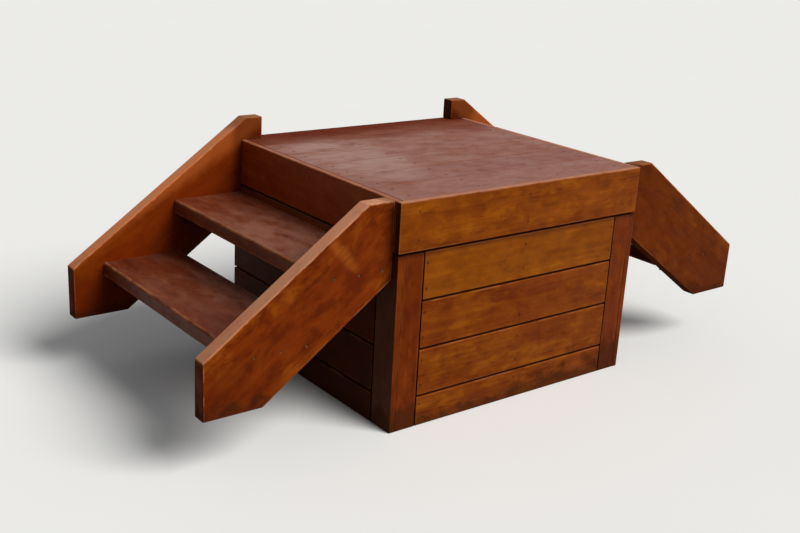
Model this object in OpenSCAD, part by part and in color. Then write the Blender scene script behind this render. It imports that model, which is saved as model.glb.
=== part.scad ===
// Wooden deck stairs: a clad landing box that stands against the edge of a
// raised deck, with a short flight of closed treads down each side of it.
// Millimetres, Z up. X runs along the deck and Y towards it. The origin is on
// the ground under the middle of the landing, and the box stands on the ground.
// The flights land on a path that lies higher than the ground.

/* [Steps] */
// Height of one step
rise = 168; // [160:1:178]
// Level distance between the front edges of two steps
going = 237; // [228:1:250]

/* [Landing] */
// Width of the landing along the deck
landing_w = 945; // [820:5:1200]
// Width of one board
board_w = 140; // [134:1:144]
// Gap between two boards
board_gap = 5; // [3:0.5:7]
// Thickness of the decking
deck_t = 20; // [18:1:28]
// Thickness of the fascia, the cladding and the corner trims
clad_t = 20; // [18:1:28]
// Height of the fascia around the landing
fascia_h = 145; // [138:1:148]
// Height of the lowest cladding board, which is cut to reach the ground
last_board_h = 90; // [70:1:125]
// Width of a corner trim
trim_w = 90; // [70:1:105]

/* [Frame] */
// Width and depth of a post
post_w = 90; // [88:1:110]
// Thickness of the rims, joists and studs
frame_t = 45; // [35:1:50]
// Height of the rims and joists
frame_h = 140; // [120:1:145]
// Width of a stud
stud_w = 90; // [60:1:110]

/* [Stringers] */
// Depth of a stringer, square to its slope
stringer_depth = 230; // [210:1:235]
// Thickness of a stringer
stringer_t = 45; // [38:1:50]
// Distance of the front stringers behind the face of the landing
stringer_setback = 25; // [5:1:45]
// Length of a front stringer's level top
stringer_flat = 85; // [65:1:110]
// Level distance from the lowest tread's front edge to the stringers' foot ends
stringer_toe = 96; // [70:1:120]
// Height of the back stringers above the landing
back_up = 70; // [50:1:85]
// Length of a back stringer that lies on the landing
back_lap = 75; // [50:1:110]

/* [Treads] */
// Depth of a tread from front to back
tread_d = 255; // [251:1:280]
// Thickness of a tread
tread_t = 45; // [38:1:50]
// Width of a cleat under a tread's end
cleat_w = 30; // [20:1:40]
// Height of a cleat
cleat_h = 35; // [25:1:45]
// Distance of a cleat behind the front edge of its tread
cleat_inset = 30; // [20:1:60]
// Clearance of a cleat above the lower edge of its stringer
cleat_margin = 8; // [4:1:15]

/* [Edges] */
// Radius of the eased edges of the boards and trims
arris_r = 3; // [1:0.5:5]
// Radius of the eased edges of the treads
tread_r = 6; // [2:0.5:10]

/* [Hidden] */

// Number of full boards across the landing, and of boards below the fascia
deck_boards = 6;
clad_boards = 4;
// Number of treads in a flight, below the landing
treads = 2;
// Steps of a quarter circle in an eased edge
arris_steps = 3;

board_pitch = board_w + board_gap;
landing_d = clad_t + deck_boards * board_pitch - board_gap;
clad_top = last_board_h + (clad_boards - 1) * board_pitch;
landing_h = clad_top + board_gap + fascia_h;
half_w = landing_w / 2;
front = -landing_d / 2;
back = landing_d / 2;

// Faces that the decking lies on and the cladding is fixed to
deck_under = landing_h - deck_t;
frame_x = half_w - clad_t;
frame_front = front + clad_t;
rim_bottom = deck_under - frame_h;

// Height of the path that the flights stand on
path_level = landing_h - (treads + 1) * rise;

// Lines of a stringer, in distance out from the landing's side and in height
slope = rise / going;
stringer_reach = treads * going + stringer_toe;
stringer_low = landing_h + slope * stringer_flat - stringer_depth * sqrt(1 + slope * slope);
stringer_toe_h = landing_h - slope * (stringer_reach - stringer_flat);
seat_in = (stringer_low - path_level) / slope;

// Faces of the stringers that the treads fit between
tread_front = front + stringer_setback + stringer_t;
tread_back = back - stringer_t;

deck_wood = [0.50, 0.27, 0.20];
clad_wood = [0.66, 0.34, 0.13];
trim_wood = [0.55, 0.25, 0.11];
stringer_wood = [0.60, 0.29, 0.12];
tread_wood = [0.42, 0.20, 0.14];
frame_wood = [0.56, 0.50, 0.34];

// Points of a rectangle from the origin whose corners are rounded
function eased_corner(centre, r, start) =
    [for (i = [0:arris_steps]) let (a = start + 90 * i / arris_steps)
        [centre[0] + r * cos(a), centre[1] + r * sin(a)]];
function eased_outline(w, h, r) = concat(
    eased_corner([w - r, r], r, -90),
    eased_corner([w - r, h - r], r, 0),
    eased_corner([r, h - r], r, 90),
    eased_corner([r, r], r, 180)
);

// A board between two corners, with eased edges along its length
module board_along_x(low, high, r = arris_r) {
    translate(low)
        rotate([90, 0, 90])
            linear_extrude(high[0] - low[0])
                polygon(eased_outline(high[1] - low[1], high[2] - low[2], r));
}

module board_along_y(low, high, r = arris_r) {
    translate([low[0], high[1], low[2]])
        rotate([90, 0, 0])
            linear_extrude(high[1] - low[1])
                polygon(eased_outline(high[0] - low[0], high[2] - low[2], r));
}

module board_along_z(low, high, r = arris_r) {
    translate(low)
        linear_extrude(high[2] - low[2])
            polygon(eased_outline(high[0] - low[0], high[1] - low[1], r));
}

// A sawn piece between two corners
module sawn(low, high) {
    translate(low)
        cube(high - low);
}

// What is drawn for the right side, on the side asked for
module on_side(side) {
    if (side == "left")
        mirror([1, 0, 0]) children();
    else
        children();
}

module front_post(side) {
    color(frame_wood)
        on_side(side)
            sawn([frame_x - post_w, frame_front, 0], [frame_x, frame_front + post_w, deck_under]);
}

module back_post(side) {
    color(frame_wood)
        on_side(side)
            sawn([frame_x - post_w, back - post_w, 0], [frame_x, back, deck_under]);
}

module front_rim() {
    color(frame_wood)
        sawn([post_w - frame_x, frame_front, rim_bottom],
             [frame_x - post_w, frame_front + frame_t, deck_under]);
}

module back_rim() {
    color(frame_wood)
        sawn([post_w - frame_x, back - frame_t, rim_bottom], [frame_x - post_w, back, deck_under]);
}

module side_rim(side) {
    color(frame_wood)
        on_side(side)
            sawn([frame_x - frame_t, frame_front + post_w, rim_bottom],
                 [frame_x, back - post_w, deck_under]);
}

// Two joists between the rims, at thirds of the width
module joists() {
    color(frame_wood)
        for (x = [-landing_w / 6, landing_w / 6])
            sawn([x - frame_t / 2, frame_front + frame_t, rim_bottom],
                 [x + frame_t / 2, back - frame_t, deck_under]);
}

// A stud under each clad rim, behind the middle of the boards
module studs() {
    color(frame_wood) {
        sawn([-stud_w / 2, frame_front, 0], [stud_w / 2, frame_front + frame_t, rim_bottom]);
        for (side = ["left", "right"])
            on_side(side)
                sawn([frame_x - frame_t, -stud_w / 2, 0], [frame_x, stud_w / 2, rim_bottom]);
    }
}

// Decking board, counted from the front
module deck_board(n) {
    y = frame_front + (n - 1) * board_pitch;
    color(deck_wood)
        board_along_x([-frame_x, y, deck_under], [frame_x, y + board_w, landing_h]);
}

module front_fascia() {
    color(clad_wood)
        board_along_x([-half_w, front, landing_h - fascia_h], [half_w, frame_front, landing_h]);
}

module side_fascia(side) {
    color(clad_wood)
        on_side(side)
            board_along_y([frame_x, frame_front, landing_h - fascia_h], [half_w, back, landing_h]);
}

// Corner trim on the front, which fits behind the edge of the side's trim
module front_trim(side) {
    color(trim_wood)
        on_side(side)
            board_along_z([half_w - trim_w, front, 0], [frame_x, frame_front, clad_top]);
}

module side_trim(side) {
    color(trim_wood)
        on_side(side)
            board_along_z([frame_x, front, 0], [half_w, front + trim_w, clad_top]);
}

// Cladding boards, counted from the top
function clad_high(n) = clad_top - (n - 1) * board_pitch;
function clad_low(n) = clad_high(n) - (n < clad_boards ? board_w : last_board_h);

module front_board(n) {
    color(clad_wood)
        board_along_x([trim_w - half_w, front, clad_low(n)],
                      [half_w - trim_w, frame_front, clad_high(n)]);
}

module side_board(side, n) {
    color(clad_wood)
        on_side(side)
            board_along_y([frame_x, front + trim_w, clad_low(n)], [half_w, back, clad_high(n)]);
}

// A stringer: an outline in distance out from the landing's side and in
// height, cut plumb at its toe and level on the path
module stringer(side, y, outline) {
    color(stringer_wood)
        on_side(side)
            translate([half_w, y + stringer_t, 0])
                rotate([90, 0, 0])
                    linear_extrude(stringer_t)
                        polygon(outline);
}

stringer_foot = [
    [0, stringer_low],
    [seat_in, path_level],
    [stringer_reach, path_level],
    [stringer_reach, stringer_toe_h]
];

// The front stringer ends level with the landing and butts its side
module front_stringer(side) {
    stringer(side, front + stringer_setback, concat(stringer_foot, [
        [stringer_flat, landing_h],
        [0, landing_h]
    ]));
}

// The back stringer runs on over the landing and is notched around its corner
module back_stringer(side) {
    stringer(side, back - stringer_t, concat(stringer_foot, [
        [stringer_flat - back_up / slope, landing_h + back_up],
        [-back_lap, landing_h + back_up],
        [-back_lap, landing_h],
        [0, landing_h]
    ]));
}

// Front edge, back edge and top of a tread, counted from the path
function tread_nose(n) = (treads + 1 - n) * going;
function tread_heel(n) = max(0, tread_nose(n) - tread_d);
function tread_top(n) = path_level + n * rise;

// A tread between the stringers, cut back where it meets the landing
module tread(side, n) {
    color(tread_wood)
        on_side(side)
            board_along_y([half_w + tread_heel(n), tread_front, tread_top(n) - tread_t],
                          [half_w + tread_nose(n), tread_back, tread_top(n)], tread_r);
}

// A cleat on the inner face of each stringer under each tread's end. It stops
// above the stringer's lower edge
module cleats(side) {
    color(frame_wood)
        on_side(side)
            for (n = [1:treads], y = [tread_front, tread_back - cleat_w]) {
                high = tread_top(n) - tread_t;
                low = high - cleat_h;
                inner = (stringer_low - low + cleat_margin) / slope;
                sawn([half_w + inner, y, low],
                     [half_w + tread_nose(n) - cleat_inset, y + cleat_w, high]);
            }
}

front_post("left");  // front_left_post
front_post("right");  // front_right_post
back_post("left");  // back_left_post
back_post("right");  // back_right_post
front_rim();
back_rim();
side_rim("left");  // left_rim
side_rim("right");  // right_rim
joists();
studs();
for (n = [1:deck_boards])
    deck_board(n);
front_fascia();
side_fascia("left");  // left_fascia
side_fascia("right");  // right_fascia
front_trim("left");  // front_left_trim
front_trim("right");  // front_right_trim
side_trim("left");  // side_left_trim
side_trim("right");  // side_right_trim
for (n = [1:clad_boards]) {
    front_board(n);
    side_board("left", n);
    side_board("right", n);
}
front_stringer("left");  // left_front_stringer
back_stringer("left");  // left_back_stringer
front_stringer("right");  // right_front_stringer
back_stringer("right");  // right_back_stringer
tread("left", 1);  // left_lower_tread
tread("left", 2);  // left_upper_tread
tread("right", 1);  // right_lower_tread
tread("right", 2);  // right_upper_tread
cleats("left");  // left_cleats
cleats("right");  // right_cleats
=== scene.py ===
"""Looks of the wooden deck stairs: oiled hardwood boards, stringers and treads on
a sawn pine frame, on a plain pale floor. Lengths are in metres."""

import math
import random

import bmesh
import bpy
from mathutils import Matrix, Vector, noise


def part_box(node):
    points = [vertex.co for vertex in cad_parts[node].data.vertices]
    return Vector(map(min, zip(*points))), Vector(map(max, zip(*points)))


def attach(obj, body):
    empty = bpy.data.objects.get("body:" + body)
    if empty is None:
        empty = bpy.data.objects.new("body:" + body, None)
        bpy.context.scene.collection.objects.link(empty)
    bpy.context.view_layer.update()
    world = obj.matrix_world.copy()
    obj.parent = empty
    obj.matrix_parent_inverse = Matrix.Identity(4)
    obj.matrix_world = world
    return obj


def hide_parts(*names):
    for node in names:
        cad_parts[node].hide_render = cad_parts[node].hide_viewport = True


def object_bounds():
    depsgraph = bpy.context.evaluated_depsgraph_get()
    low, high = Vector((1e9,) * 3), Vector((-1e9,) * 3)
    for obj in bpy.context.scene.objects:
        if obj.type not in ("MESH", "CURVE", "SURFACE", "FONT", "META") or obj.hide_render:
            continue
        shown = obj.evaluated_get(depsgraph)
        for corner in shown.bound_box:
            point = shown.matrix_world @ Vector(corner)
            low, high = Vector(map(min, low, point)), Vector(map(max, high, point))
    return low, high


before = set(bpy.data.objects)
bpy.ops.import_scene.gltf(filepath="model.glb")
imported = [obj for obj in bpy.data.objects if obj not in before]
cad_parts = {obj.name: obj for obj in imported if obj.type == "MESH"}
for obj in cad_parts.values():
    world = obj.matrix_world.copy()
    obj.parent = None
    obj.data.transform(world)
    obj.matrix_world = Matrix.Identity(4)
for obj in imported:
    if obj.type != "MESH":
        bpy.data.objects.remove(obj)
cad_low, cad_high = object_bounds()

scene = bpy.context.scene
scene.view_settings.view_transform = "Standard"


def new_object(name, data):
    made = bpy.data.objects.new(name, data)
    scene.collection.objects.link(made)
    return made


# Camera

CAMERA_PLACE = (-2.224, -2.656, 1.443)
CAMERA_YAW = 38.46      # degrees from +Y towards +X
CAMERA_PITCH = 18.48    # degrees below the horizon
CAMERA_ROLL = 3.23      # degrees
CAMERA_LENS = 50.0      # mm
CAMERA_SENSOR = 36.0    # width in mm


def make_camera():
    data = bpy.data.cameras.new("camera")
    data.lens = CAMERA_LENS
    data.sensor_width = CAMERA_SENSOR
    camera = new_object("camera", data)
    turn = Matrix.Rotation(math.radians(-CAMERA_YAW), 4, "Z")
    tip = Matrix.Rotation(math.radians(90.0 - CAMERA_PITCH), 4, "X")
    roll = Matrix.Rotation(math.radians(CAMERA_ROLL), 4, "Z")
    camera.matrix_world = Matrix.Translation(CAMERA_PLACE) @ turn @ tip @ roll
    scene.camera = camera


make_camera()


# Sizes that the frame's boxes don't give, as on the real stairs

RISE = 0.168
GOING = 0.237
SLOPE = RISE / GOING
STRINGER_DEPTH = 0.230  # square to its slope
STRINGER_FLAT = 0.085   # length of a front stringer's level top
BACK_UP = 0.070         # height of the back stringers above the landing
BACK_LAP = 0.075        # length of a back stringer that lies on the landing
POST = 0.090            # width of the posts and studs
FRAME_T = 0.045         # thickness of the studs and joists
CLEAT_W = 0.030
CLEAT_H = 0.035
CLEAT_INSET = 0.030     # from a tread's outer edge to its cleats
CLEAT_MARGIN = 0.008    # how far at least the cleats stay above a stringer's lower edge


# Places that the frame's boxes give

fascia_low, fascia_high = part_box("front_fascia")
foot_low, foot_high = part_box("right_front_stringer")
HALF_W = fascia_high.x  # how far out the landing's sides are
FRAME_FRONT = fascia_high.y
LANDING_TOP = fascia_high.z
FASCIA_FOOT = fascia_low.z
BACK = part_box("back_rim")[1].y
FRAME_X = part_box("front_right_post")[1].x
POST_LINE = FRAME_X - POST / 2
JOIST_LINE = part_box("joists")[1].x - FRAME_T / 2
PATH_LEVEL = foot_low.z     # of the path that the stringers stand on
REACH = foot_high.x - HALF_W
STRINGER_T = foot_high.y - foot_low.y
STRINGER_LOW = LANDING_TOP + SLOPE * STRINGER_FLAT - STRINGER_DEPTH * math.hypot(1.0, SLOPE)
SLOPES_MEET = LANDING_TOP + SLOPE * (HALF_W + STRINGER_FLAT)    # height, over the middle


# Materials

RING_UNIT = math.tau / 20.0     # spacing of the wave texture's rings where its scale is 1
CORE_DEPTH = 0.145      # how far below its sloping edge a stringer's dark core lies
FASCIA_SHADOW_DEPTH = 0.018       # how far the painted shadow under the fascia reaches down


def linear(red, green, blue):
    """A colour as seen on screen, from 0 to 255, in the form the shader takes."""
    def channel(value):
        share = value / 255.0
        return share / 12.92 if share <= 0.04045 else ((share + 0.055) / 1.055) ** 2.4
    return (channel(red), channel(green), channel(blue), 1.0)


class Shader:
    """Short forms for making the nodes of a material or of the world. A material sets
    place, which patterns follow, and colour, which is painted over."""

    def __init__(self, owner):
        owner.use_nodes = True
        self.owner = owner
        self.tree = owner.node_tree
        self.tree.nodes.clear()

    def node(self, kind, inputs=None, **settings):
        made = self.tree.nodes.new("ShaderNode" + kind)
        for key, value in settings.items():
            setattr(made, key, value)
        for key, value in (inputs or {}).items():
            if isinstance(value, bpy.types.NodeSocket):
                self.tree.links.new(value, made.inputs[key])
            else:
                made.inputs[key].default_value = value
        return made

    def math(self, operation, a, b=0.0, clamp=False):
        made = self.node("Math", {0: a, 1: b}, operation=operation, use_clamp=clamp)
        return made.outputs[0]

    def add(self, a, b):
        return self.math("ADD", a, b)

    def times(self, a, b, clamp=False):
        return self.math("MULTIPLY", a, b, clamp)

    def vector(self, operation, a, b, output="Vector"):
        return self.node("VectorMath", {0: a, 1: b}, operation=operation).outputs[output]

    def parts(self, vector):
        return self.node("SeparateXYZ", {0: vector}).outputs

    def span(self, value, low, high, to_low=0.0, to_high=1.0):
        """A smooth step from one result to another while value goes from low to high."""
        return self.node("MapRange", {
            "Value": value, "From Min": low, "From Max": high, "To Min": to_low, "To Max": to_high,
        }, interpolation_type="SMOOTHSTEP").outputs[0]

    def mix(self, share, a, b):
        return self.node("Mix", {0: share, 6: a, 7: b}, data_type="RGBA").outputs[2]

    def paint(self, share, colour):
        self.colour = self.mix(share, self.colour, colour)

    def attribute(self, name, output="Fac"):
        return self.node("Attribute", attribute_name=name).outputs[output]

    def noise(self, scale, detail=2.0, roughness=0.5, distortion=0.0):
        return self.node("TexNoise", {
            "Vector": self.vector("MULTIPLY", self.place, scale), "Scale": 1.0, "Detail": detail,
            "Roughness": roughness, "Distortion": distortion,
        }).outputs[0]

    def rings(self, scale, spacing, distortion):
        """Growth rings around the pith, which lies along the first axis."""
        return self.node("TexWave", {
            "Vector": self.vector("MULTIPLY", self.place, scale), "Scale": RING_UNIT / spacing,
            "Distortion": distortion, "Detail": 2.0, "Detail Scale": 0.10, "Detail Roughness": 0.5,
        }, wave_type="RINGS", rings_direction="X").outputs[1]

    def bump(self, height, strength, distance):
        return self.node("Bump", {
            "Height": height, "Strength": strength, "Distance": distance,
        }).outputs[0]

    def seen_directly(self):
        """1 for what the camera sees, also in gloss and through glass."""
        path = self.node("LightPath").outputs
        seen = self.math("MAXIMUM", path["Is Camera Ray"], path["Is Glossy Ray"])
        return self.math("MAXIMUM", seen, path["Is Transmission Ray"])

    def finish(self, **inputs):
        surface = self.node("BsdfPrincipled", {
            "Base Color": self.colour,
            **{key.replace("_", " "): value for key, value in inputs.items()},
        })
        self.node("OutputMaterial", {"Surface": surface.outputs[0]})
        return self.owner


class OiledWood(Shader):
    """Oiled hardwood, painted mark by mark. Its pattern follows each piece's own
    grain, which the mesh carries: wood is the place in the log, grain the direction
    along it, edge is 1 on an eased edge, seam is 1 on a side that meets another
    piece, stain is 1 round a screw, lap is the place beside a brush mark, and tone
    and red set the piece's own shade."""

    def __init__(self, name, light, middle, dark, sloping):
        super().__init__(bpy.data.materials.new(name))
        self.light = light
        self.dark = dark
        self.sloping = sloping
        self.place = self.attribute("wood", "Vector")
        self.tone = self.attribute("tone")
        self.seam = self.attribute("seam")
        geometry = self.node("NewGeometry").outputs
        self.position = geometry["Position"]
        self.normal = geometry["True Normal"]
        self.x, self.y, self.z = self.parts(self.position)
        self.leeward, _, self.upward = self.parts(self.normal)
        self.fibres = self.noise((10.0, 260.0, 260.0), detail=3.0, roughness=0.6)
        self.stains = self.noise((16.0, 24.0, 24.0), detail=4.0, roughness=0.58, distortion=0.25)
        self.clouds = self.noise((3.0, 6.5, 6.5), detail=2.0)
        if sloping:
            # How far out a place on a stringer is, and how deep below its sloping edge
            self.reach = self.math("ABSOLUTE", self.x)
            edge = self.add(self.times(self.reach, -SLOPE), SLOPES_MEET)
            self.depth = self.math("SUBTRACT", edge, self.z)
        self.grow(middle)

    def roughen(self, amount):
        self.roughness = self.add(self.roughness, amount)

    def grow(self, middle):
        """Broad bands and mottling, then the growth rings, the fibres and the pores."""
        bands = self.noise((2.0, 30.0, 30.0), detail=4.0, roughness=0.60, distortion=0.3)
        mottle = self.noise((15.0, 27.0, 27.0), detail=3.0, roughness=0.55, distortion=0.4)
        figure = self.rings((0.10, 1.0, 1.0), spacing=0.011, distortion=26.0)
        pores = self.span(self.noise((36.0, 900.0, 900.0), detail=1.0), 0.58, 0.70)
        shade = self.add(self.times(bands, 0.45), self.times(mottle, 0.55))
        self.colour = self.mix(self.span(shade, 0.38, 0.50), self.dark, middle)
        self.paint(self.span(shade, 0.50, 0.63, 0.0, 0.85), self.light)
        self.paint(self.span(figure, 0.55, 1.0, 0.0, 0.12), self.light)
        self.paint(self.span(self.fibres, 0.50, 0.68, 0.0, 0.20), self.light)
        self.paint(self.span(self.fibres, 0.50, 0.34, 0.0, 0.22), self.dark)
        self.paint(self.times(pores, 0.4), linear(40, 13, 2))
        relief = self.add(self.times(self.fibres, 0.6), self.times(figure, 0.2))
        self.relief = self.math("SUBTRACT", relief, self.times(pores, 0.5))

    def soak(self, blotches):
        """Oil that has soaked in unevenly."""
        self.paint(self.span(self.stains, 0.50, 0.66, 0.0, blotches),
                   self.mix(0.5, self.dark, linear(70, 16, 3)))
        self.paint(self.span(self.clouds, 0.38, 0.66, 0.0, 0.35),
                   self.mix(0.5, self.dark, linear(112, 38, 6)))

    def thin_out(self, golden):
        """Thin patches show golden, on a stringer mostly beside its sloping edges."""
        thin = self.noise((7.0, 13.0, 13.0), detail=4.0, roughness=0.62, distortion=0.3)
        thin = self.span(thin, 0.48, 0.66, 0.0, golden)
        if self.sloping:
            core = self.math("ABSOLUTE", self.math("SUBTRACT", self.depth, CORE_DEPTH))
            core = self.add(core, self.times(self.clouds, 0.04))
            core = self.span(core, 0.075, 0.115, 1.0, 0.0)
            thin = self.times(thin, self.span(core, 0.0, 1.0, 1.0, 0.3))
            self.paint(self.times(core, 0.22), linear(92, 26, 6))
        self.paint(thin, linear(178, 98, 20))

    def shade(self):
        """The piece's own shade; a tone below -1 adds painted shade, for pieces in shadow."""
        red = self.attribute("red")
        self.paint(self.times(self.tone, 0.5, clamp=True), self.light)
        self.paint(self.times(self.tone, -0.5, clamp=True), self.dark)
        self.paint(self.times(red, 0.35, clamp=True), linear(122, 36, 8))
        self.paint(self.times(red, -0.35, clamp=True), linear(160, 90, 12))
        # Painted shade for pieces that lie in shadow, such as the boards under the left flight and
        # the tongues in the gaps
        painted_shade = self.span(self.tone, -1.0, -2.0)
        painted_shade = self.times(painted_shade, self.span(self.stains, 0.25, 0.75, 0.9, 0.6))
        self.paint(painted_shade, linear(44, 18, 8))

    def pale(self, share):
        """Painted light: paler at the back under the sloping edge, reaching deeper near the
        landing.
        """
        low = self.add(self.depth, self.times(self.reach, 0.125))
        low = self.add(low, self.times(self.clouds, 0.03))
        low = self.add(low, self.times(self.stains, 0.04))
        pale = self.times(self.span(low, 0.183, 0.132), self.span(self.y, 0.0, 0.3))
        self.paint(self.times(pale, share), linear(190, 100, 46))

    def weather(self, wear, polish):
        """Cut ends drink more oil and show dark. Eased edges are paler, as worn oil and painted
        highlight, except those that look down. Ends, seams, undersides and edges are dull."""
        grain = self.attribute("grain", "Vector")
        facing = self.math("ABSOLUTE", self.vector("DOT_PRODUCT", self.normal, grain, "Value"))
        self.paint(self.span(facing, 0.60, 0.92, 0.0, 0.85), linear(32, 14, 8))

        # Paler eased edges: worn oil, and a painted highlight on edges that don't look down
        worn_and_highlit = self.span(self.add(self.stains, self.times(self.fibres, 0.5)), 0.60, 0.90)
        edge = self.attribute("edge")
        along = self.times(edge, self.span(facing, 0.6, 0.3, 0.0, wear))
        along = self.times(along, self.span(self.upward, -0.45, -0.10))
        self.paint(self.times(worn_and_highlit, along), linear(178, 112, 70))

        self.roughness = self.span(self.stains, 0.30, 0.75, polish - 0.06, polish + 0.14)
        self.roughen(self.times(self.math("MAXIMUM", facing, self.seam), 0.35))
        self.roughen(self.span(self.upward, -0.3, -0.6, 0.0, 0.5))
        self.roughen(self.times(edge, 0.2))

    def bleach(self, share, bleach_and_sheen_colour, lapped):
        """Faces turned to the sky are pale and pinkish: sun bleaching and a painted sheen."""
        bleached_and_lit = self.add(self.stains, self.times(self.fibres, 0.6))
        bleached_and_lit = self.span(bleached_and_lit, 0.46, 0.82, 0.45, 1.0)
        bleached_and_lit = self.times(bleached_and_lit, self.span(self.upward, 0.45, 0.75, 0.0, share))
        bleached_and_lit = self.times(bleached_and_lit, self.span(self.tone, -0.45, 0.1, 0.3, 1.0))
        straw = self.noise((22.0, 60.0, 60.0), detail=3.0)
        straw = self.span(straw, 0.45, 0.65, 0.0, 0.5)
        if self.sloping:
            # Level tops get the most bleaching and painted sheen, the foot of a slope the least
            straw = self.add(straw, self.span(self.upward, 0.90, 0.98, 0.0, 0.45))
            bleached_and_lit = self.times(bleached_and_lit, self.span(self.reach, 1.06, 0.82, 0.45, 1.0))
        bleach_and_sheen_colour = self.mix(straw, bleach_and_sheen_colour, linear(172, 134, 98))
        if lapped:
            bleach_and_sheen_colour = self.mix(self.span(self.reach, 0.84, 0.56, 0.0, 0.6), bleach_and_sheen_colour,
                                linear(208, 142, 110))
        self.paint(bleached_and_lit, bleach_and_sheen_colour)
        specks_and_glints = self.span(self.fibres, 0.52, 0.66)
        specks_and_glints = self.times(specks_and_glints, self.span(self.stains, 0.42, 0.58))
        self.paint(self.times(self.times(specks_and_glints, bleached_and_lit), 0.5), linear(206, 152, 118))
        self.roughen(self.times(bleached_and_lit, 0.1))
        if self.sloping:
            # The bleaching and painted sheen run unevenly over the edge onto the side
            nibbles = self.noise((45.0, 90.0, 90.0), detail=3.0, roughness=0.6)
            over = self.add(self.depth, self.times(nibbles, -0.020))
            self.paint(self.span(over, -0.004, -0.011, 0.0, 0.6), bleach_and_sheen_colour)

    def scuff(self, share, worn_at, worn_to):
        """The film is dull and greyish where feet land, most round one spot."""
        offset = self.vector("SUBTRACT", self.position, (*worn_at, 0.0))
        offset = self.vector("MULTIPLY", offset, (4.6, 2.7, 0.0))
        away = self.vector("LENGTH", offset, (0.0, 0.0, 0.0), "Value")
        ragged = self.noise((5.0, 5.0, 5.0), detail=4.0)
        worn = self.span(self.add(away, self.times(ragged, 1.1)), 1.7, 0.85)
        scuffs = self.noise((9.0, 17.0, 17.0), detail=5.0, roughness=0.66)
        scuffs = self.span(self.add(scuffs, self.times(worn, 0.11)), 0.42, 0.68)
        scuffs = self.times(scuffs, self.span(self.upward, 0.6, 0.9))
        scuffs = self.times(scuffs, self.span(worn, 0.0, 1.0, share * 0.3, share))
        self.paint(scuffs, worn_to)
        self.roughen(self.times(scuffs, 0.15))

    def paint_back_reflection(self, share):
        """Painted reflection of a wall behind: the deck's back is darker and redder, and rougher.
        """
        rearward = self.add(self.y, self.times(self.clouds, 0.16))
        rearward = self.add(rearward, self.times(self.x, 0.02))
        reflection = self.span(rearward, 0.27, 0.50, 0.0, share)
        self.paint(reflection, linear(88, 28, 5))
        self.roughen(self.times(reflection, 0.45))

    def brush_mark(self):
        """A pale mark where two coats of oil met."""
        lap = self.parts(self.attribute("lap", "Vector"))
        off = self.add(lap["X"], self.times(lap["Y"], 0.12))
        off = self.add(off, self.times(self.stains, 0.022))
        off = self.math("ABSOLUTE", self.math("SUBTRACT", off, 0.011))
        mark = self.span(off, 0.0010, 0.0240, 0.38, 0.0)
        ends = self.span(self.math("ABSOLUTE", lap["Y"]), 0.040, 0.075, 1.0, 0.0)
        mark = self.times(mark, ends)
        mark = self.times(mark, self.span(self.fibres, 0.36, 0.58, 0.45, 1.0))
        self.paint(mark, linear(184, 102, 36))

    def blacken(self, iron):
        """Iron has blackened the wood round the screws. Seams are darkened as dirt and
        painted shade, and the corner where a stringer meets the landing as painted shade."""
        stain = self.span(self.clouds, 0.30, 0.62, 0.35 * iron, 0.8 * iron)
        self.paint(self.times(self.attribute("stain"), stain), linear(34, 14, 6))
        # Seams darkened as dirt and painted shade
        self.paint(self.times(self.seam, 0.9), linear(50, 12, 4))
        if self.sloping:
            # Painted shade in the corner where a stringer meets the landing
            away = self.add(self.reach, self.times(self.stains, 0.05))
            away = self.span(away, HALF_W + 0.035, HALF_W + 0.075, 0.5, 0.0)
            self.paint(away, linear(46, 18, 8))

    def fascia_shadow(self, share):
        """Painted shadow: a soft dark line on the wood just under the fascia."""
        under = self.add(self.z, self.times(self.fibres, 0.006))
        under = self.span(under, FASCIA_FOOT - FASCIA_SHADOW_DEPTH, FASCIA_FOOT - 0.003, 0.0, share)
        self.paint(under, linear(50, 16, 6))

    def splash(self, ground):
        """Soil darkens the wood near the ground, round the landing more at the right."""
        height = self.add(self.z, self.times(self.stains, -0.12))
        if self.sloping:
            damp = self.span(height, ground + 0.13, ground, 0.0, 0.35)
            self.paint(damp, linear(76, 22, 2))
            soil = self.span(height, ground - 0.01, ground - 0.06, 0.0, 0.6)
        else:
            height = self.add(height, self.times(self.x, -0.035))
            soil = self.span(height, ground, ground - 0.05, 0.0, 0.7)
        self.paint(soil, linear(48, 22, 12))
        self.roughness = self.math("ADD", self.roughness, self.times(soil, 0.3), clamp=True)


def oiled_wood(name, light, middle, dark, blotches, wear, golden=0.0, polish=0.45, gloss=0.12,
               sheen_tint=(1.0, 0.42, 0.08, 1.0), bleach_and_sheen=0.0, bleach_and_sheen_colour=None, foot_wear=0.0,
               worn_at=None, worn_to=None, back_reflection=0.0, lapped=False, ground=0.0,
               sloping=False, painted_light_below=0.0, shaded_side=0.0, fascia_shadow=0.0, iron=0.65):
    """A kind of oiled wood. The shares say how strongly each mark shows."""
    wood = OiledWood(name, light, middle, dark, sloping)
    wood.soak(blotches)
    if golden:
        wood.thin_out(golden)
    wood.shade()
    if painted_light_below:
        wood.pale(painted_light_below)
    wood.weather(wear, polish)
    if bleach_and_sheen:
        wood.bleach(bleach_and_sheen, bleach_and_sheen_colour, lapped)
    if foot_wear:
        wood.scuff(foot_wear, worn_at, worn_to)
    if back_reflection:
        wood.paint_back_reflection(back_reflection)
    if lapped:
        wood.brush_mark()
    wood.blacken(iron)
    if fascia_shadow:
        wood.fascia_shadow(fascia_shadow)
    if shaded_side:
        # Painted shade: faces that look towards -x, the side under the left flight, are darkened
        wood.paint(wood.span(wood.leeward, -0.80, -0.98, 0.0, shaded_side), linear(34, 13, 5))
    wood.splash(ground)
    return wood.finish(Roughness=wood.roughness, Normal=wood.bump(wood.relief, 0.35, 0.0005),
                       Specular_IOR_Level=gloss, Specular_Tint=sheen_tint)


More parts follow.
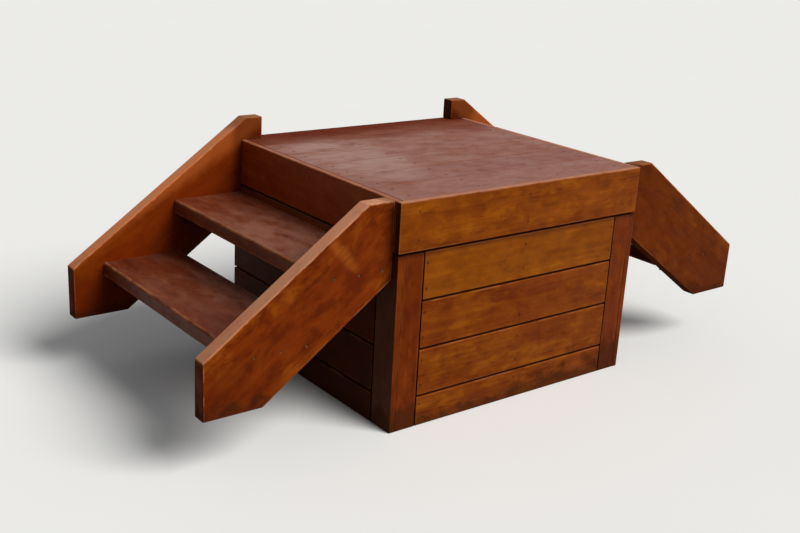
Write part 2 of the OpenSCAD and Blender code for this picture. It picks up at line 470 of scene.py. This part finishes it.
def sawn_pine(name):
    """Pale treated pine, rough from the saw, for the frame inside."""
    shader = Shader(bpy.data.materials.new(name))
    shader.place = shader.attribute("wood", "Vector")
    tone = shader.attribute("tone")
    height = shader.parts(shader.node("NewGeometry").outputs["Position"])["Z"]
    growth = shader.rings((0.08, 1.0, 1.0), spacing=0.009, distortion=14.0)
    bands = shader.noise((1.5, 24.0, 24.0), detail=3.0, roughness=0.6)
    fibres = shader.noise((14.0, 420.0, 420.0), detail=3.0, roughness=0.65)
    saw = shader.noise((260.0, 12.0, 12.0), detail=1.0)
    knots = shader.node("TexVoronoi", {
        "Vector": shader.vector("MULTIPLY", shader.place, (3.2, 9.0, 9.0)),
        "Scale": 1.0,
    }).outputs["Distance"]

    shader.colour = linear(140, 122, 82)
    shader.paint(shader.span(bands, 0.35, 0.65), linear(170, 150, 106))
    shader.paint(shader.span(growth, 0.55, 1.0, 0.0, 0.45), linear(126, 96, 58))
    shader.paint(shader.span(fibres, 0.58, 0.42, 0.0, 0.25), linear(108, 92, 62))
    shader.paint(shader.span(knots, 0.15, 0.09, 0.0, 0.8), linear(84, 52, 28))
    shader.paint(shader.times(tone, 0.25, clamp=True), linear(186, 170, 130))
    damp = shader.add(height, shader.times(bands, -0.16))
    shader.paint(shader.span(damp, 0.05, -0.05, 0.0, 0.7), linear(70, 58, 40))
    relief = shader.add(shader.times(saw, 0.6), fibres)
    return shader.finish(Roughness=0.86, Specular_IOR_Level=0.25,
                         Normal=shader.bump(relief, 0.5, 0.0008))


def screw_metal(name, light, dark):
    """Coated screw heads, weathered in spots and filmed over with the boards' oil."""
    shader = Shader(bpy.data.materials.new(name))
    shader.place = shader.node("NewGeometry").outputs["Position"]
    spots = shader.noise((420.0, 420.0, 420.0), detail=3.0, roughness=0.6)
    shader.colour = shader.mix(shader.span(spots, 0.40, 0.66), light, dark)
    return shader.finish(Roughness=shader.span(spots, 0.3, 0.7, 0.55, 0.80), Metallic=0.3,
                         Specular_IOR_Level=0.2, Normal=shader.bump(spots, 0.3, 0.0002))


CLAD_COLOURS = (linear(148, 81, 9), linear(118, 55, 4), linear(90, 35, 2))
CLAD_MARKS = {"blotches": 0.32, "golden": 0.15, "wear": 0.30, "fascia_shadow": 0.65}
CLADDING = oiled_wood("cladding_wood", *CLAD_COLOURS, **CLAD_MARKS)
# A shaded copy with less gloss, for the boards under the left flight: painted shade
SHADED_CLADDING = oiled_wood("shaded_cladding_wood", *CLAD_COLOURS, gloss=0.03, **CLAD_MARKS)
FASCIA = oiled_wood("fascia_wood", linear(154, 83, 9), linear(124, 57, 5), linear(90, 34, 2),
                    blotches=0.45, golden=0.12, wear=0.45, bleach_and_sheen=0.85,
                    bleach_and_sheen_colour=linear(163, 108, 86))
TRIM = oiled_wood("trim_wood", linear(124, 54, 5), linear(100, 38, 2), linear(76, 23, 1),
                  blotches=0.25, wear=0.20, ground=0.05, shaded_side=0.7, fascia_shadow=0.65)
STRINGER = oiled_wood("stringer_wood", linear(138, 59, 9), linear(113, 43, 4), linear(82, 24, 2),
                      blotches=0.85, golden=0.34, wear=0.95, bleach_and_sheen=0.95,
                      bleach_and_sheen_colour=linear(188, 124, 92), lapped=True, ground=PATH_LEVEL,
                      sloping=True)
CALM_STRINGER = oiled_wood("calm_stringer_wood", linear(120, 54, 6), linear(99, 41, 3),
                           linear(74, 25, 2), blotches=0.48, golden=0.16, wear=0.45, gloss=0.05,
                           bleach_and_sheen=0.95, bleach_and_sheen_colour=linear(206, 122, 76),
                           ground=PATH_LEVEL, sloping=True, painted_light_below=0.42)
# The deck's pale pinkish colours are its weathered colour plus a painted sheen of the sky
DECKING = oiled_wood("decking_wood", linear(135, 86, 74), linear(127, 77, 65), linear(115, 63, 51),
                     blotches=0.14, wear=0.3, polish=0.46, gloss=0.09,
                     sheen_tint=(1.0, 0.76, 0.66, 1.0), foot_wear=0.80, worn_at=(-0.28, 0.05),
                     worn_to=linear(156, 123, 113), back_reflection=0.95, iron=0.5)
TREAD = oiled_wood("tread_wood", linear(120, 63, 38), linear(98, 45, 25), linear(70, 28, 14),
                   blotches=0.40, wear=0.6, polish=0.42, gloss=0.08,
                   sheen_tint=(1.0, 0.75, 0.62, 1.0), foot_wear=0.50, worn_at=(-0.64, -0.14),
                   worn_to=linear(140, 96, 80))
PINE = sawn_pine("frame_pine")
SCREW = screw_metal("screw_bronze", linear(112, 80, 56), linear(66, 38, 22))
DARK_SCREW = screw_metal("screw_brown", linear(104, 62, 36), linear(58, 30, 16))

# Shades set for single pieces: lighter or darker, and redder or more golden
SHADES = {
    "front_fascia": (0.10, -0.10),
    "left_fascia": (-0.22, 1.70),
    "front_board_1": (0.20, -0.50),
    "front_board_2": (-0.15, 0.30),
    "front_board_3": (-0.25, 0.20),
    "front_board_4": (-0.25, 0.15),
    "left_board_1": (-1.05, 0.50),
    # Left boards 2 to 4 are darkened as painted shade under the left flight
    "left_board_2": (-1.80, 0.30),
    "left_board_3": (-2.00, 0.20),
    "left_board_4": (-2.00, 0.20),
    "side_right_trim": (-0.20, 0.10),
    "front_left_trim": (-0.10, 0.25),
    "side_left_trim": (0.25, 0.10),
    "front_right_trim": (0.0, 0.10),
    "left_front_stringer": (0.10, 0.10),
    "left_back_stringer": (0.30, 1.00),
    # Darker, as painted shade
    "right_front_stringer": (-0.45, -0.10),
    "right_back_stringer": (0.0, 0.30),
    "left_upper_tread": (0.25, 0.10),
    "left_lower_tread": (-0.30, 0.10),
    "left_cleats": (-1.40, 0.20),
    "right_cleats": (-1.40, 0.20),
    "deck_board_1": (1.00, 0.0),
    "deck_board_5": (0.05, -0.10),
    # More golden, as part of the painted reflection along the deck's back
    "deck_board_6": (-0.10, -0.40),
}


# Timber

EDGE_STEPS = 3          # facets round an eased edge
GUARD = 0.0022          # strip of flat face beside an eased edge
LENGTH_STEP = 0.050     # spacing of the mesh along the grain
WIDTH_STEP = 0.040      # spacing of the mesh across the grain
ARRIS = 0.003           # radius of the boards' long edges
NOSING = 0.006          # radius of the treads' long edges
SAWN_EDGE = 0.0015      # radius of the frame's edges
END_EDGE = 0.0008       # radius of a board's cut ends
END_GAP = 0.0010        # joint between a board's end and what it butts
EDGE_WANDER = 0.0005    # how far a board's long edges wander inwards
FACE_WANDER = 0.0004    # how far its face does
WAVES = (3.0, 8.0)      # how quickly both change along and across the grain, per metre
BOARD_SINK = 0.0007     # how far at most a board's face lies below its solid's
DECK_SINK = 0.0005      # the same for the deck boards
TREAD_SINK = 0.0004     # for the treads
STRINGER_SINK = 0.0003  # for the stringers
SAWN_SINK = 0.0002      # and for the frame
SHARP = 38.0            # degrees: a bend from which the shading shows an edge

SCREW_SIDES = 16
SCREW_WINDOW = 0.010    # half width of the square of face that a screw hole is cut in
STAIN_RADIUS = 0.0078
HOLE_RADIUS = 0.0047
HOLE_DEPTH = 0.0012
HEAD_RADIUS = 0.0042
HEAD_SINK = 0.0007      # how far a screw head lies below the face
HEAD_RIM = 0.0009       # width of the sloping rim of a screw head
RIM_DROP = 0.0003       # how far that rim slopes down
HEAD_FIT = 0.97         # a head's share of the width of its hole's floor
RECESS = 0.0014         # half width of a screw's square recess
RECESS_DEPTH = 0.0020
SCREW_TIP = 0.006       # length of screw that is modelled
SCREW_SIZES = {"decking_screws": 0.75, "stringer_screws": 0.85}
SMALL_SCREW = 0.60      # size of the other groups' screws, where 1 is as above

# What each point of a mesh carries, for the materials
NUMBERS = ("edge", "seam", "stain", "tone", "red")
VECTORS = ("lap", "wood", "grain")

AXES = {"x": Vector((1, 0, 0)), "y": Vector((0, 1, 0)), "z": Vector((0, 0, 1))}

dice = random.Random(4127)
screw_places = {}


def spread(low, high, step):
    """Even stops strictly between low and high."""
    count = max(1, round((high - low) / step))
    return [low + (high - low) * i / count for i in range(1, count)]


def stops(low, high, step, screws):
    """Where the mesh is cut: on both sides of each screw, and evenly between."""
    ends = [low, high]
    done = []
    for middle in screws:
        if all(abs(middle - other) > SCREW_WINDOW / 10 for other in done):
            done.append(middle)
            ends += [middle - SCREW_WINDOW, middle + SCREW_WINDOW]
    ends.sort()
    cuts = ends[1:-1]
    for start, end in zip(ends, ends[1:]):
        cuts += spread(start, end, step)
    return cuts


def mesh_of(bm, name):
    mesh = bpy.data.meshes.new(name)
    bm.to_mesh(mesh)
    bm.free()
    return mesh


def make_prism(bm, outline, thick):
    under = [bm.verts.new((u, v, -thick)) for u, v in outline]
    face = [bm.verts.new((u, v, 0.0)) for u, v in outline]
    bm.faces.new(reversed(under))
    bm.faces.new(face)
    for i in range(len(outline)):
        j = (i + 1) % len(outline)
        bm.faces.new((under[i], under[j], face[j], face[i]))
    bm.normal_update()


def round_edges(bm, edges, radius, steps, arris):
    done = bmesh.ops.bevel(bm, geom=edges, offset=radius, offset_type="OFFSET", segments=steps,
                           profile=0.5, affect="EDGES", clamp_overlap=True)
    for made in done["faces"]:
        made[arris] = 1
    bm.normal_update()


def runs_along(edge):
    run = edge.verts[1].co - edge.verts[0].co
    return abs(run.x) > 0.999 * run.length


def ease_edges(bm, radius, steps, all_round, arris):
    """Rounds the edges along the grain and, by less, the cut ends, or all outer edges
    alike. Each flat face that is left gets a narrow border."""
    if all_round:
        round_edges(bm, [edge for edge in bm.edges if edge.is_convex], radius, steps, arris)
        flats = [face for face in bm.faces if not face[arris]]
    else:
        round_edges(bm, [edge for edge in bm.edges if runs_along(edge)], radius, steps, arris)
        ends = [face for face in bm.faces if abs(face.normal.x) > 0.9]
        round_edges(bm, list({edge for face in ends for edge in face.edges}), END_EDGE, 1, arris)
        flats = [face for face in bm.faces if not face[arris] and abs(face.normal.x) < 0.9]
    bmesh.ops.inset_individual(bm, faces=flats, thickness=GUARD, depth=0.0, use_even_offset=True)


def ring_of(radius, w, middle=(0.0, 0.0)):
    """Points of a circle round a screw's axis, the first towards +u."""
    points = []
    for i in range(SCREW_SIDES):
        angle = math.tau * i / SCREW_SIDES
        points.append(Vector((middle[0] + radius * math.cos(angle),
                              middle[1] + radius * math.sin(angle), w)))
    return points


def bridge(bm, outer, inner):
    count = len(outer)
    for i in range(count):
        j = (i + 1) % count
        bm.faces.new((outer[i], outer[j], inner[j], inner[i]))


def drill(bm, middles, size, stain):
    """Cuts a shallow round hole for each screw into its square of the face."""
    squares = [face for face in bm.faces if face.normal.z > 0.99 and len(face.verts) == 4]
    chosen = []
    for middle in middles:
        target = Vector((*middle, 0.0))
        chosen.append(min(squares, key=lambda face: (face.calc_center_median() - target).length))
    quarter = SCREW_SIDES // 4
    for middle, square in zip(middles, chosen):
        corners = sorted(square.verts, key=lambda vert: math.atan2(
            vert.co.y - middle[1], vert.co.x - middle[0]) % math.tau)
        bmesh.ops.delete(bm, geom=[square], context="FACES_ONLY")
        rings = []
        for radius, w, darkness in ((STAIN_RADIUS, 0.0, 0.0), (HOLE_RADIUS, 0.0, 1.0),
                                    (HEAD_RADIUS, -HOLE_DEPTH, 1.0)):
            ring = [bm.verts.new(point) for point in ring_of(radius * size, w, middle)]
            for vert in ring:
                vert[stain] = darkness
            rings.append(ring)
        outer = rings[0]
        for k, corner in enumerate(corners):
            start = quarter * k
            for i in range(start, start + quarter):
                bm.faces.new((corner, outer[(i + 1) % SCREW_SIDES], outer[i]))
            side = outer[(start + quarter) % SCREW_SIDES]
            bm.faces.new((corner, corners[(k + 1) % 4], side))
        bridge(bm, rings[0], rings[1])
        bridge(bm, rings[1], rings[2])
        bm.faces.new(rings[2])


def settling(lows, highs, thick, face_sink, edge_wander):
    """A slight shift for a piece's points: its face lies a little lower than its
    neighbours' and its long edges wander inwards."""
    sink = dice.uniform(0.2, 1.0) * face_sink
    spot = dice.uniform(-90.0, 90.0)
    middle = (lows[1] + highs[1]) / 2
    half = (highs[1] - lows[1]) / 2

    def wave(u, v, row):
        return 0.5 + 0.5 * noise.noise(Vector((u * WAVES[0] + spot, v * WAVES[1], row)))

    def settle(point):
        u, v, w = point
        inward = edge_wander * wave(u, 0.0, 1.0 if v > middle else 2.0) * (v - middle) / half
        lower = (sink + FACE_WANDER * wave(u, v, 3.0)) * (w + thick) / thick
        return Vector((u, v - inward, w - lower))

    return settle


def seam_share(face, side, arris, plumb):
    """How dark a face is made, as dirt and painted shade: all of a side that meets another
    piece, and part of its eased edge where that looks down."""
    if face.normal.y * side > 0.95 and not face[arris]:
        return 1.0
    if face[arris] and face.normal.y * side > 0.3 and face.normal.dot(plumb) < -0.3:
        return 0.7
    return 0.0


def timber(outline, thick, axes, screws, radius=ARRIS, steps=EDGE_STEPS, all_round=False,
           screw_group=None, face_sink=BOARD_SINK, shade=None, lap_at=None, seams=()):
    """A mesh of one piece of timber. The outline is drawn in u, along the grain,
    and v, across it, and the face that shows looks along w. axes turns these into
    the frame."""
    bm = bmesh.new()
    arris = bm.faces.layers.int.new("arris")
    numbers = [bm.verts.layers.float.new(name) for name in NUMBERS]
    vectors = [bm.verts.layers.float_vector.new(name) for name in VECTORS]
    edge_layer, seam_layer, stain_layer, tone_layer, red_layer = numbers
    lap_layer, wood_layer, grain_layer = vectors

    make_prism(bm, outline, thick)
    ease_edges(bm, radius, steps, all_round, arris)
    lows = [min(point[i] for point in outline) for i in (0, 1)]
    highs = [max(point[i] for point in outline) for i in (0, 1)]
    for axis, step in ((0, LENGTH_STEP), (1, WIDTH_STEP)):
        across = Vector((axis == 0, axis == 1, 0))
        for stop in stops(lows[axis], highs[axis], step, [screw[axis] for screw in screws]):
            bmesh.ops.bisect_plane(bm, geom=bm.verts[:] + bm.edges[:] + bm.faces[:], dist=1e-6,
                                   plane_co=across * stop, plane_no=across)
    bm.normal_update()
    size = SCREW_SIZES.get(screw_group, SMALL_SCREW)
    if screws:
        drill(bm, screws, size, stain_layer)

    # Where in the log the piece was cut, and its own shade
    start = Vector((dice.uniform(-8, 8), dice.uniform(-0.06, 0.06), dice.uniform(0.05, 0.17)))
    drawn = (dice.uniform(-0.4, 0.4), dice.uniform(-0.4, 0.4))
    middle = Vector(((lows[0] + highs[0]) / 2, (lows[1] + highs[1]) / 2, 0.0))
    settle = settling(lows, highs, thick, face_sink, 0.0 if all_round else EDGE_WANDER)
    grain = axes.to_3x3() @ AXES["x"]
    plumb = axes.to_3x3().transposed() @ AXES["z"]
    for vert in bm.verts:
        vert[edge_layer] = float(any(face[arris] for face in vert.link_faces))
        vert[seam_layer] = max([0.0] + [
            seam_share(face, side, arris, plumb) for face in vert.link_faces for side in seams])
        vert[lap_layer] = vert.co - lap_at if lap_at else Vector((1.0, 1.0, 1.0))
        vert[tone_layer], vert[red_layer] = shade or drawn
        vert[wood_layer] = vert.co - middle + start
        vert[grain_layer] = grain
        vert.co = axes @ settle(vert.co)
    bmesh.ops.recalc_face_normals(bm, faces=bm.faces[:])

    for middle in screws:
        place = axes @ Matrix.Translation(settle(Vector((*middle, 0.0))))
        place = place @ Matrix.Rotation(dice.uniform(0.0, math.tau), 4, "Z")
        place = place @ Matrix.Diagonal((size, size, 1.0, 1.0))
        screw_places.setdefault(screw_group, []).append(place)
    return mesh_of(bm, "timber")


def box_timber(low, high, along, facing, gap=0.0, screws_at=(), seams=(), **details):
    """Timber that fills a box. along names the axis of its grain, facing the side
    that shows, such as -y, and seams the narrow sides darkened as dirt and painted
    shade. screws_at lists pairs of places in the frame, one along the grain and one across it."""
    u = AXES[along]
    w = AXES[facing[1]] * (-1 if facing[0] == "-" else 1)
    v = w.cross(u)
    first = [min(low.dot(axis), high.dot(axis)) for axis in (u, v)]
    last = [max(low.dot(axis), high.dot(axis)) for axis in (u, v)]
    front = max(low.dot(w), high.dot(w))
    thick = front - min(low.dot(w), high.dot(w))
    axes = Matrix.Translation(u * first[0] + v * first[1] + w * front)
    axes = axes @ Matrix((u, v, w)).transposed().to_4x4()
    long = last[0] - first[0]
    wide = last[1] - first[1]
    outline = [(gap, 0.0), (long - gap, 0.0), (long - gap, wide), (gap, wide)]
    sign = sum(v)
    screws = [(a - first[0], b * sign - first[1]) for a, b in screws_at]
    sides = [v.dot(AXES[seam[1]]) * (-1 if seam[0] == "-" else 1) for seam in seams]
    return timber(outline, thick, axes, screws, seams=sides, **details)


def add_piece(name, meshes, material, nodes=()):
    """One object of the meshes, which rides on the part and stands for its nodes."""
    bm = bmesh.new()
    for mesh in meshes:
        bm.from_mesh(mesh)
        bpy.data.meshes.remove(mesh)
    joined = mesh_of(bm, name)
    joined.shade_smooth()
    joined.set_sharp_from_angle(angle=math.radians(SHARP))
    joined.materials.append(material)
    piece = new_object(name + "_wood" if nodes else name, joined)
    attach(piece, "root")
    if nodes:
        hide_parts(*nodes)


def add_board(name, along, facing, material, slot, **details):
    low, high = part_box(name)
    mesh = box_timber(low, high, along, facing, shade=SHADES.get(name), **details)
    add_piece(name, [mesh], material, [name])


def add_sawn(name, along, facing, boxes=None, material=PINE):
    meshes = []
    for low, high in boxes or [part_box(name)]:
        meshes.append(box_timber(Vector(low), Vector(high), along, facing, radius=SAWN_EDGE,
                                 steps=2, face_sink=SAWN_SINK, shade=SHADES.get(name)))
    add_piece(name, meshes, material, [name])


# Frame

def add_frame():
    for name in ("front_left_post", "front_right_post", "back_left_post", "back_right_post"):
        add_sawn(name, "z", "+y" if name.startswith("back") else "-y")
    add_sawn("front_rim", "x", "-y")
    add_sawn("back_rim", "x", "+y")
    add_sawn("left_rim", "y", "-x")
    add_sawn("right_rim", "y", "+x")

    low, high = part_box("joists")
    add_sawn("joists", "y", "+x", [
        (low, (low.x + FRAME_T, high.y, high.z)),
        ((high.x - FRAME_T, low.y, low.z), high),
    ])

    low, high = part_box("studs")
    half = POST / 2
    add_sawn("studs", "z", "-y", [
        ((-half, low.y, low.z), (half, low.y + FRAME_T, high.z)),
        ((low.x, -half, low.z), (low.x + FRAME_T, half, high.z)),
        ((high.x - FRAME_T, -half, low.z), (high.x, half, high.z)),
    ])


# Landing

DECK_BOARDS = 6
CLAD_BOARDS = 4
SWELLING = 0.0020       # how far the wet deck boards have swollen on each side
DECK_ARRIS = 0.0010     # radius of the deck boards' long edges
SCREW_INSET = 0.032     # from a board's long edge to its screws
LAST_INSET = 0.022      # the same on the narrow lowest board
TRIM_ARRIS = 0.002      # radius of the trims' long edges
BUTT_GAP = 0.0040       # joint between a cladding board's end and the trim
END_INSET = 0.014       # from the boards' ends at the trims to their screws
TRIM_SCREW_STEP = 0.170     # the trims' screws are about this far apart
TONGUE = 0.006          # thickness of the strips that close the gaps between boards
TONGUE_SINK = 0.010     # how far they lie behind the boards' faces
TONGUE_GRIP = 0.004     # how far they reach into the boards above and below
TONGUE_EDGE = 0.0005    # radius of their edges
# Near-black, as painted shade in the gaps
TONGUE_SHADE = (-2.0, 0.0)

# The landing's faces: name, the way it looks, and the axis along its boards
FACES = (("front", "-y", "x"), ("left", "-x", "y"), ("right", "+x", "y"))


def screw_grid(lines, low, high, inset=SCREW_INSET):
    """Two screws on each line across a board that lies from low to high."""
    return [(line, place) for line in lines for place in (low + inset, high - inset)]


def add_decking():
    for n in range(1, DECK_BOARDS + 1):
        name = f"deck_board_{n}"
        low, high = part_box(name)
        lines = (-POST_LINE, -JOIST_LINE, JOIST_LINE, POST_LINE)
        screws_at = screw_grid(lines, low.y, high.y)
        low = Vector((low.x, max(low.y - SWELLING, FRAME_FRONT), low.z))
        high = Vector((high.x, min(high.y + SWELLING, cad_high[1]), high.z))
        mesh = box_timber(low, high, "x", "+z", gap=END_GAP, radius=DECK_ARRIS,
                          face_sink=DECK_SINK, seams=("-y", "+y"), screws_at=screws_at,
                          screw_group="decking_screws", shade=SHADES.get(name))
        add_piece(name, [mesh], DECKING, [name])


def add_fascias():
    for side, facing, along in FACES:
        if side == "front":
            gap = 0.0
            lines = (-POST_LINE, 0.0, POST_LINE)
        else:
            gap = END_GAP
            lines = (FRAME_FRONT + POST - END_INSET, 0.0, BACK - POST + END_INSET)
        add_board(f"{side}_fascia", along, facing, FASCIA, "fascia", gap=gap, seams=("-z",),
                  screws_at=screw_grid(lines, FASCIA_FOOT, LANDING_TOP),
                  screw_group="fascia_screws")


def add_trims():
    for side, facing in (("left", "-x"), ("right", "+x")):
        for place, face in (("front", "-y"), ("side", facing)):
            name = f"{place}_{side}_trim"
            low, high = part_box(name)
            across = (low.x + high.x) / 2 if place == "front" else (low.y + high.y) / 2
            heights = spread(low.z - POST, high.z + POST, TRIM_SCREW_STEP)
            # A side trim covers the outer edge of the front one
            seams = ("+y",) if place == "side" else ("-x", "+x")
            add_board(name, "z", face, TRIM, "trim", gap=END_GAP, radius=TRIM_ARRIS, seams=seams,
                      screws_at=[(z, across) for z in heights], screw_group="trim_screws")


def add_cladding():
    for n in range(1, CLAD_BOARDS + 1):
        inset = SCREW_INSET if n < CLAD_BOARDS else LAST_INSET
        for side, facing, along in FACES:
            name = f"{side}_board_{n}"
            low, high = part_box(name)
            if side == "front":
                lines = (low.x + END_INSET, 0.0, high.x - END_INSET)
            else:
                lines = (low.y + END_INSET, 0.0, BACK - POST / 2)
            # The boards under the left flight take the shaded copy, as painted shade
            material = SHADED_CLADDING if side == "left" and n > 1 else CLADDING
            add_board(name, along, facing, material, "cladding", gap=BUTT_GAP,
                      seams=("-z", "+z"), screws_at=screw_grid(lines, low.z, high.z, inset),
                      screw_group=f"{side}_screws")


def add_tongues():
    """Dark strips let into the boards' edges, which keep light out of the gaps; their
    near-black tone is painted shade.
    """
    for side, facing, along in FACES:
        axis = "xyz".index(facing[1])
        meshes = []
        for n in range(1, CLAD_BOARDS):
            low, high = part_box(f"{side}_board_{n}")
            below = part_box(f"{side}_board_{n + 1}")[1]
            start = Vector((low.x, low.y, below.z - TONGUE_GRIP))
            end = Vector((high.x, high.y, low.z + TONGUE_GRIP))
            if facing[0] == "-":
                start[axis] = low[axis] + TONGUE_SINK
                end[axis] = start[axis] + TONGUE
            else:
                end[axis] = high[axis] - TONGUE_SINK
                start[axis] = end[axis] - TONGUE
            meshes.append(box_timber(start, end, along, facing, gap=BUTT_GAP,
                                     radius=TONGUE_EDGE, steps=1, face_sink=0.0,
                                     shade=TONGUE_SHADE))
        add_piece(f"{side}_tongues", meshes, CLADDING)


# Flights

TREAD_SCREWS = 3
TREAD_SCREW_STEP = 0.078
LAP = (0.1585, 0.1285)  # a brush mark's place: distance out and depth below the landing's top


def stringer_outline(raised):
    """In distance out from the landing's side and in height."""
    seat = (STRINGER_LOW - PATH_LEVEL) / SLOPE
    toe = LANDING_TOP - SLOPE * (REACH - STRINGER_FLAT)
    foot = [(0.0, STRINGER_LOW), (seat, PATH_LEVEL), (REACH, PATH_LEVEL), (REACH, toe)]
    if not raised:
        return foot + [(STRINGER_FLAT, LANDING_TOP), (0.0, LANDING_TOP)]
    top = LANDING_TOP + BACK_UP
    return foot + [(STRINGER_FLAT - BACK_UP / SLOPE, top), (-BACK_LAP, top),
                   (-BACK_LAP, LANDING_TOP), (0.0, LANDING_TOP)]


def add_stringer(side, place):
    """A stringer whose grain runs down the slope and whose outer face shows."""
    name = f"{side}_{place}_stringer"
    low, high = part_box(name)
    out = AXES["x"] * (1 if side == "right" else -1)
    face = AXES["y"] * (-1 if place == "front" else 1)
    down = (out - AXES["z"] * SLOPE).normalized()
    across = face.cross(down)
    corner = Vector((HALF_W * out.x, low.y if place == "front" else high.y, LANDING_TOP))
    axes = Matrix.Translation(corner) @ Matrix((down, across, face)).transposed().to_4x4()

    def flat(distance, z):
        offset = out * distance + AXES["z"] * (z - LANDING_TOP)
        return (offset.dot(down), offset.dot(across))

    outline = [flat(*point) for point in stringer_outline(place == "back")]
    area = sum(a[0] * b[1] - b[0] * a[1] for a, b in zip(outline, outline[1:] + outline[:1]))
    if area < 0:
        outline.reverse()
    tread_low, tread_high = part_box(f"{side}_lower_tread")
    first = abs(tread_low.x + tread_high.x) / 2 - HALF_W - TREAD_SCREW_STEP * (TREAD_SCREWS - 1) / 2
    height = (tread_low.z + tread_high.z) / 2
    screws = [flat(first + i * TREAD_SCREW_STEP - n * GOING, height + n * RISE)
              for n in (0, 1) for i in range(TREAD_SCREWS)]
    lap_at = None
    if name == "left_front_stringer":
        lap_at = Vector((*flat(LAP[0], LANDING_TOP - LAP[1]), 0.0))
    mesh = timber(outline, STRINGER_T, axes, screws, all_round=True,
                  screw_group="stringer_screws", face_sink=STRINGER_SINK, lap_at=lap_at,
                  shade=SHADES.get(name))
    material = STRINGER if name == "left_front_stringer" else CALM_STRINGER
    add_piece(name, [mesh], material, [name])


def add_cleats(side):
    """The cleats under the treads' ends, inside both stringers."""
    out = 1 if side == "right" else -1
    boxes = []
    for level in ("lower", "upper"):
        low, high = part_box(f"{side}_{level}_tread")
        nose = max(abs(low.x), abs(high.x))
        bottom = low.z - CLEAT_H
        inner = HALF_W + (STRINGER_LOW - bottom + CLEAT_MARGIN) / SLOPE
        ends = sorted((out * inner, out * (nose - CLEAT_INSET)))
        for y in (low.y, high.y - CLEAT_W):
            boxes.append(((ends[0], y, bottom), (ends[1], y + CLEAT_W, low.z)))
    add_sawn(f"{side}_cleats", "x", "-y", boxes, CALM_STRINGER)


def add_flights():
    for side in ("left", "right"):
        for place in ("front", "back"):
            add_stringer(side, place)
        for level in ("lower", "upper"):
            add_board(f"{side}_{level}_tread", "y", "+z", TREAD, "tread", gap=END_GAP,
                      radius=NOSING, steps=5, face_sink=TREAD_SINK)
        add_cleats(side)


# Screws

def screw_mesh(bm, place):
    """A countersunk screw head with a square recess, closed below."""
    def ring(points):
        return [bm.verts.new(place @ point) for point in points]

    square = []
    for point in ring_of(1.0, 0.0):
        reach = RECESS / max(abs(point.x), abs(point.y))
        square.append(Vector((point.x * reach, point.y * reach, -HEAD_SINK)))
    rings = [
        ring(ring_of(RECESS, -SCREW_TIP)),
        ring(ring_of(HEAD_RADIUS * HEAD_FIT, -HEAD_SINK - RIM_DROP)),
        ring(ring_of(HEAD_RADIUS - HEAD_RIM, -HEAD_SINK)),
        ring(square),
        ring([Vector((point.x, point.y, -HEAD_SINK - RECESS_DEPTH)) for point in square]),
    ]
    bm.faces.new(reversed(rings[0]))
    for outer, inner in zip(rings, rings[1:]):
        bridge(bm, outer, inner)
    bm.faces.new(rings[-1])


def add_screws():
    for group, places in screw_places.items():
        bm = bmesh.new()
        for place in places:
            screw_mesh(bm, place)
        bmesh.ops.recalc_face_normals(bm, faces=bm.faces[:])
        paler = group in ("stringer_screws", "decking_screws")
        add_piece(group, [mesh_of(bm, group)], SCREW if paler else DARK_SCREW)


add_frame()
add_decking()
add_fascias()
add_trims()
add_cladding()
add_flights()
add_screws()
add_tongues()


# Floor and light

FLOOR_SIZE = 60.0
FLOOR_TINTS = ((0.80, 0.80, 0.79, 1.0), (0.82, 0.82, 0.81, 1.0))
PALE = (0.834, 0.831, 0.808, 1.0)       # how the background looks, where 1 is white
AMBIENT = 0.27          # light from all round
AMBIENT_COLOUR = (0.96, 0.98, 1.0, 1.0)
FLOOR_BOUNCE = 0.22     # the floor's share of light thrown back at the stairs
KEY_STRENGTH = 3.5
KEY_SPREAD = 35.0       # degrees across
KEY_COLOUR = (1.0, 0.985, 0.96)
KEY_FROM = Vector((0.34, -0.76, 0.80))


def add_floor():
    mesh = bpy.data.meshes.new("floor")
    half = FLOOR_SIZE / 2
    corners = [(-half, -half, 0.0), (half, -half, 0.0), (half, half, 0.0), (-half, half, 0.0)]
    mesh.from_pydata(corners, [], [(0, 1, 2, 3)])
    shader = Shader(bpy.data.materials.new("floor_paint"))
    shader.place = shader.node("NewGeometry").outputs["Position"]
    mottle = shader.noise((1.5, 1.5, 1.5), detail=3.0)
    pale = shader.mix(mottle, *FLOOR_TINTS)
    dim = (FLOOR_BOUNCE, FLOOR_BOUNCE, FLOOR_BOUNCE, 1.0)
    shader.colour = shader.mix(shader.seen_directly(), dim, pale)
    mesh.materials.append(shader.finish(Roughness=0.95, Specular_IOR_Level=0.0))
    new_object("floor", mesh)


def add_light():
    sun = bpy.data.lights.new("key", "SUN")
    sun.energy = KEY_STRENGTH
    sun.angle = math.radians(KEY_SPREAD)
    sun.color = KEY_COLOUR
    key = new_object("key", sun)
    key.rotation_euler = KEY_FROM.to_track_quat("Z", "Y").to_euler()

    scene.world = bpy.data.worlds.new("studio")
    shader = Shader(scene.world)
    dim = shader.node("Background", {"Color": AMBIENT_COLOUR, "Strength": AMBIENT})
    pale = shader.node("Background", {"Color": PALE})
    either = shader.node("MixShader", {
        0: shader.seen_directly(), 1: dim.outputs[0], 2: pale.outputs[0],
    })
    shader.node("OutputWorld", {"Surface": either.outputs[0]})


add_floor()
add_light()
